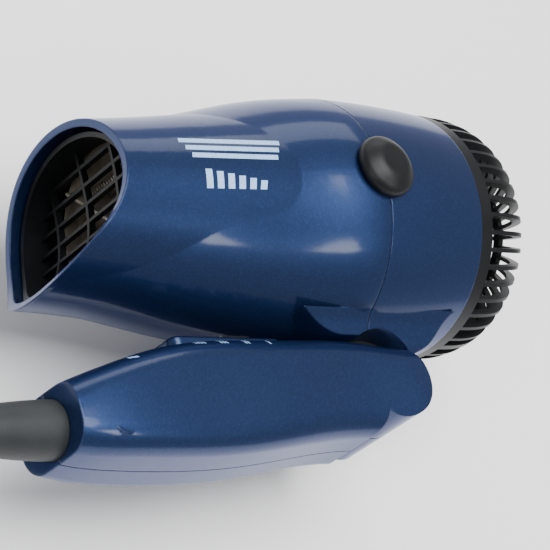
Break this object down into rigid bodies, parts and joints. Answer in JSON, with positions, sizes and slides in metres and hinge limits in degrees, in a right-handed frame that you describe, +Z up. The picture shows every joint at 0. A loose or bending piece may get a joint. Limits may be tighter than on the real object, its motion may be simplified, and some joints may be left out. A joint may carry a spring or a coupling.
{
  "type": "travel hair dryer",
  "caption": "Compact travel hair dryer with a folding handle, slanted nozzle, ribbed intake grille, slide switch and a coiled cord with a safety plug.",
  "frame": {"origin": "on the surface that the dryer lies on, under the barrel's axis at the joint line between the two housings, at the flat crown of the far side cap", "axes": "+X along the barrel towards the nozzle, +Y from the barrel towards the folded handle, +Z up, away from the surface"},
  "size_m": [0.343, 0.1161, 0.088],
  "materials": {
    "blue_shell": "metallic dark blue paint under a clear gloss",
    "black_trim": "satin moulded black",
    "inner_plastic": "moulded dark grey",
    "mica": "pressed mica sheet",
    "winding": "nickel chrome wire",
    "steel": "zinc plated",
    "brass": "plain",
    "circuit_board": "laminate",
    "cord_rubber": "satin black",
    "button_red": "gloss",
    "button_white": "gloss"
  },
  "bodies": {
    "handle": {"hinge_pin": "steel", "hinge_washers": "steel", "handle_half_near": "blue_shell", "handle_half_far": "blue_shell", "handle_screws": "steel", "switch_body": "inner_plastic", "handle_leads": "cord_rubber", "strain_relief": "cord_rubber", "cord_run": "cord_rubber", "cord_tail": "cord_rubber", "cord_coil": "cord_rubber", "cord_tie": "cord_rubber", "plug_cover": "black_trim", "plug_base": "black_trim", "plug_blades": "brass", "plug_relief": "cord_rubber"},
    "barrel": {"front_housing": "blue_shell", "rear_housing": "blue_shell", "side_cap_near": "black_trim", "side_cap_far": "black_trim", "cap_screws": "steel", "intake_grille": "black_trim", "fan_duct": "inner_plastic", "motor_can": "steel", "motor_end_cap": "inner_plastic", "rectifier_board": "circuit_board", "rectifier_diodes": "inner_plastic", "mica_liner": "mica", "mica_board_a": "mica", "mica_board_b": "mica", "heating_coils": "winding", "thermostat": "steel", "thermal_fuse": "steel", "outlet_grille": "black_trim", "pivot_arm": "inner_plastic"},
    "rotor": {"fan_impeller": "inner_plastic", "motor_shaft": "steel"},
    "slider": {"switch_slider": "black_trim"},
    "reset": {"reset_button": "button_red"},
    "test": {"test_button": "button_white"}
  },
  "joints": [
    {"name": "fold", "type": "hinge", "parent": "handle", "child": "barrel", "pos_m": [-0.004, 0.054, 0.044], "axis": [0, 0, 1], "range_deg": [-90, 0]},
    {"name": "fan_spin", "type": "hinge", "parent": "barrel", "child": "rotor", "pos_m": [-0.0225, 0, 0.044], "axis": [1, 0, 0], "continuous": true},
    {"name": "speed_slide", "type": "slide", "parent": "handle", "child": "slider", "axis": [1, 0, 0], "range_m": [0, 0.0135]},
    {"name": "reset_press", "type": "slide", "parent": "handle", "child": "reset", "axis": [0, 0, -1], "range_m": [0, 0.0012], "stiffness_N_per_m": 800},
    {"name": "test_press", "type": "slide", "parent": "handle", "child": "test", "axis": [0, 0, -1], "range_m": [0, 0.0012], "stiffness_N_per_m": 800}
  ]
}
